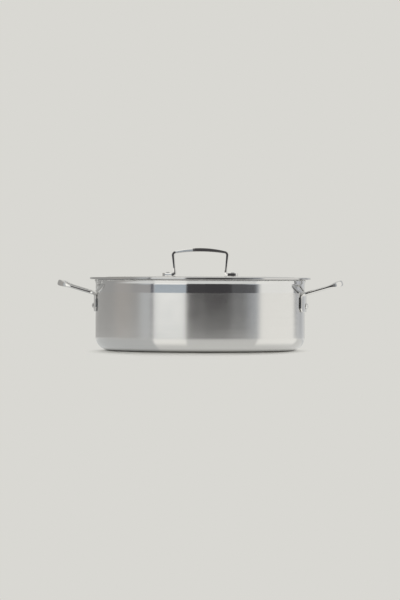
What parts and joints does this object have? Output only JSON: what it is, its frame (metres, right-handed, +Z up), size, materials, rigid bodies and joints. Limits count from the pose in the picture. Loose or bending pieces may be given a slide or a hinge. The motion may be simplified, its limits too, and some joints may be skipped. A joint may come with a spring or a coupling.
{
  "type": "deep saute pan",
  "caption": "Deep stainless steel saute pan with straight walls, riveted loop handles on both sides and a flat lid with a riveted strap handle.",
  "frame": {"origin": "centre of the pan's base, on the surface the pan stands on", "axes": "+Z up along the pan's axis, +X towards the right loop handle, +Y towards the back"},
  "size_m": [0.3892, 0.3008, 0.1394],
  "materials": {
    "pan_steel": "brushed round the wall, with a polished band under the rim",
    "handle_steel": "polished cast stainless steel",
    "rivet_steel": "polished",
    "lid_steel": "finely polished"
  },
  "bodies": {
    "pan": {"pan_body": "pan_steel", "side_handle_left": "handle_steel", "side_handle_right": "handle_steel", "handle_rivet_left_front": "rivet_steel", "handle_rivet_left_back": "rivet_steel", "handle_rivet_right_front": "rivet_steel", "handle_rivet_right_back": "rivet_steel"},
    "lid": {"lid": "lid_steel", "lid_handle": "handle_steel", "lid_rivet_left_front": "rivet_steel", "lid_rivet_left_back": "rivet_steel", "lid_rivet_right_front": "rivet_steel", "lid_rivet_right_back": "rivet_steel"}
  },
  "joints": [
    {"name": "lid_lift", "type": "slide", "parent": "pan", "child": "lid", "axis": [0, 0, 1], "range_m": [0, 0.15]}
  ]
}
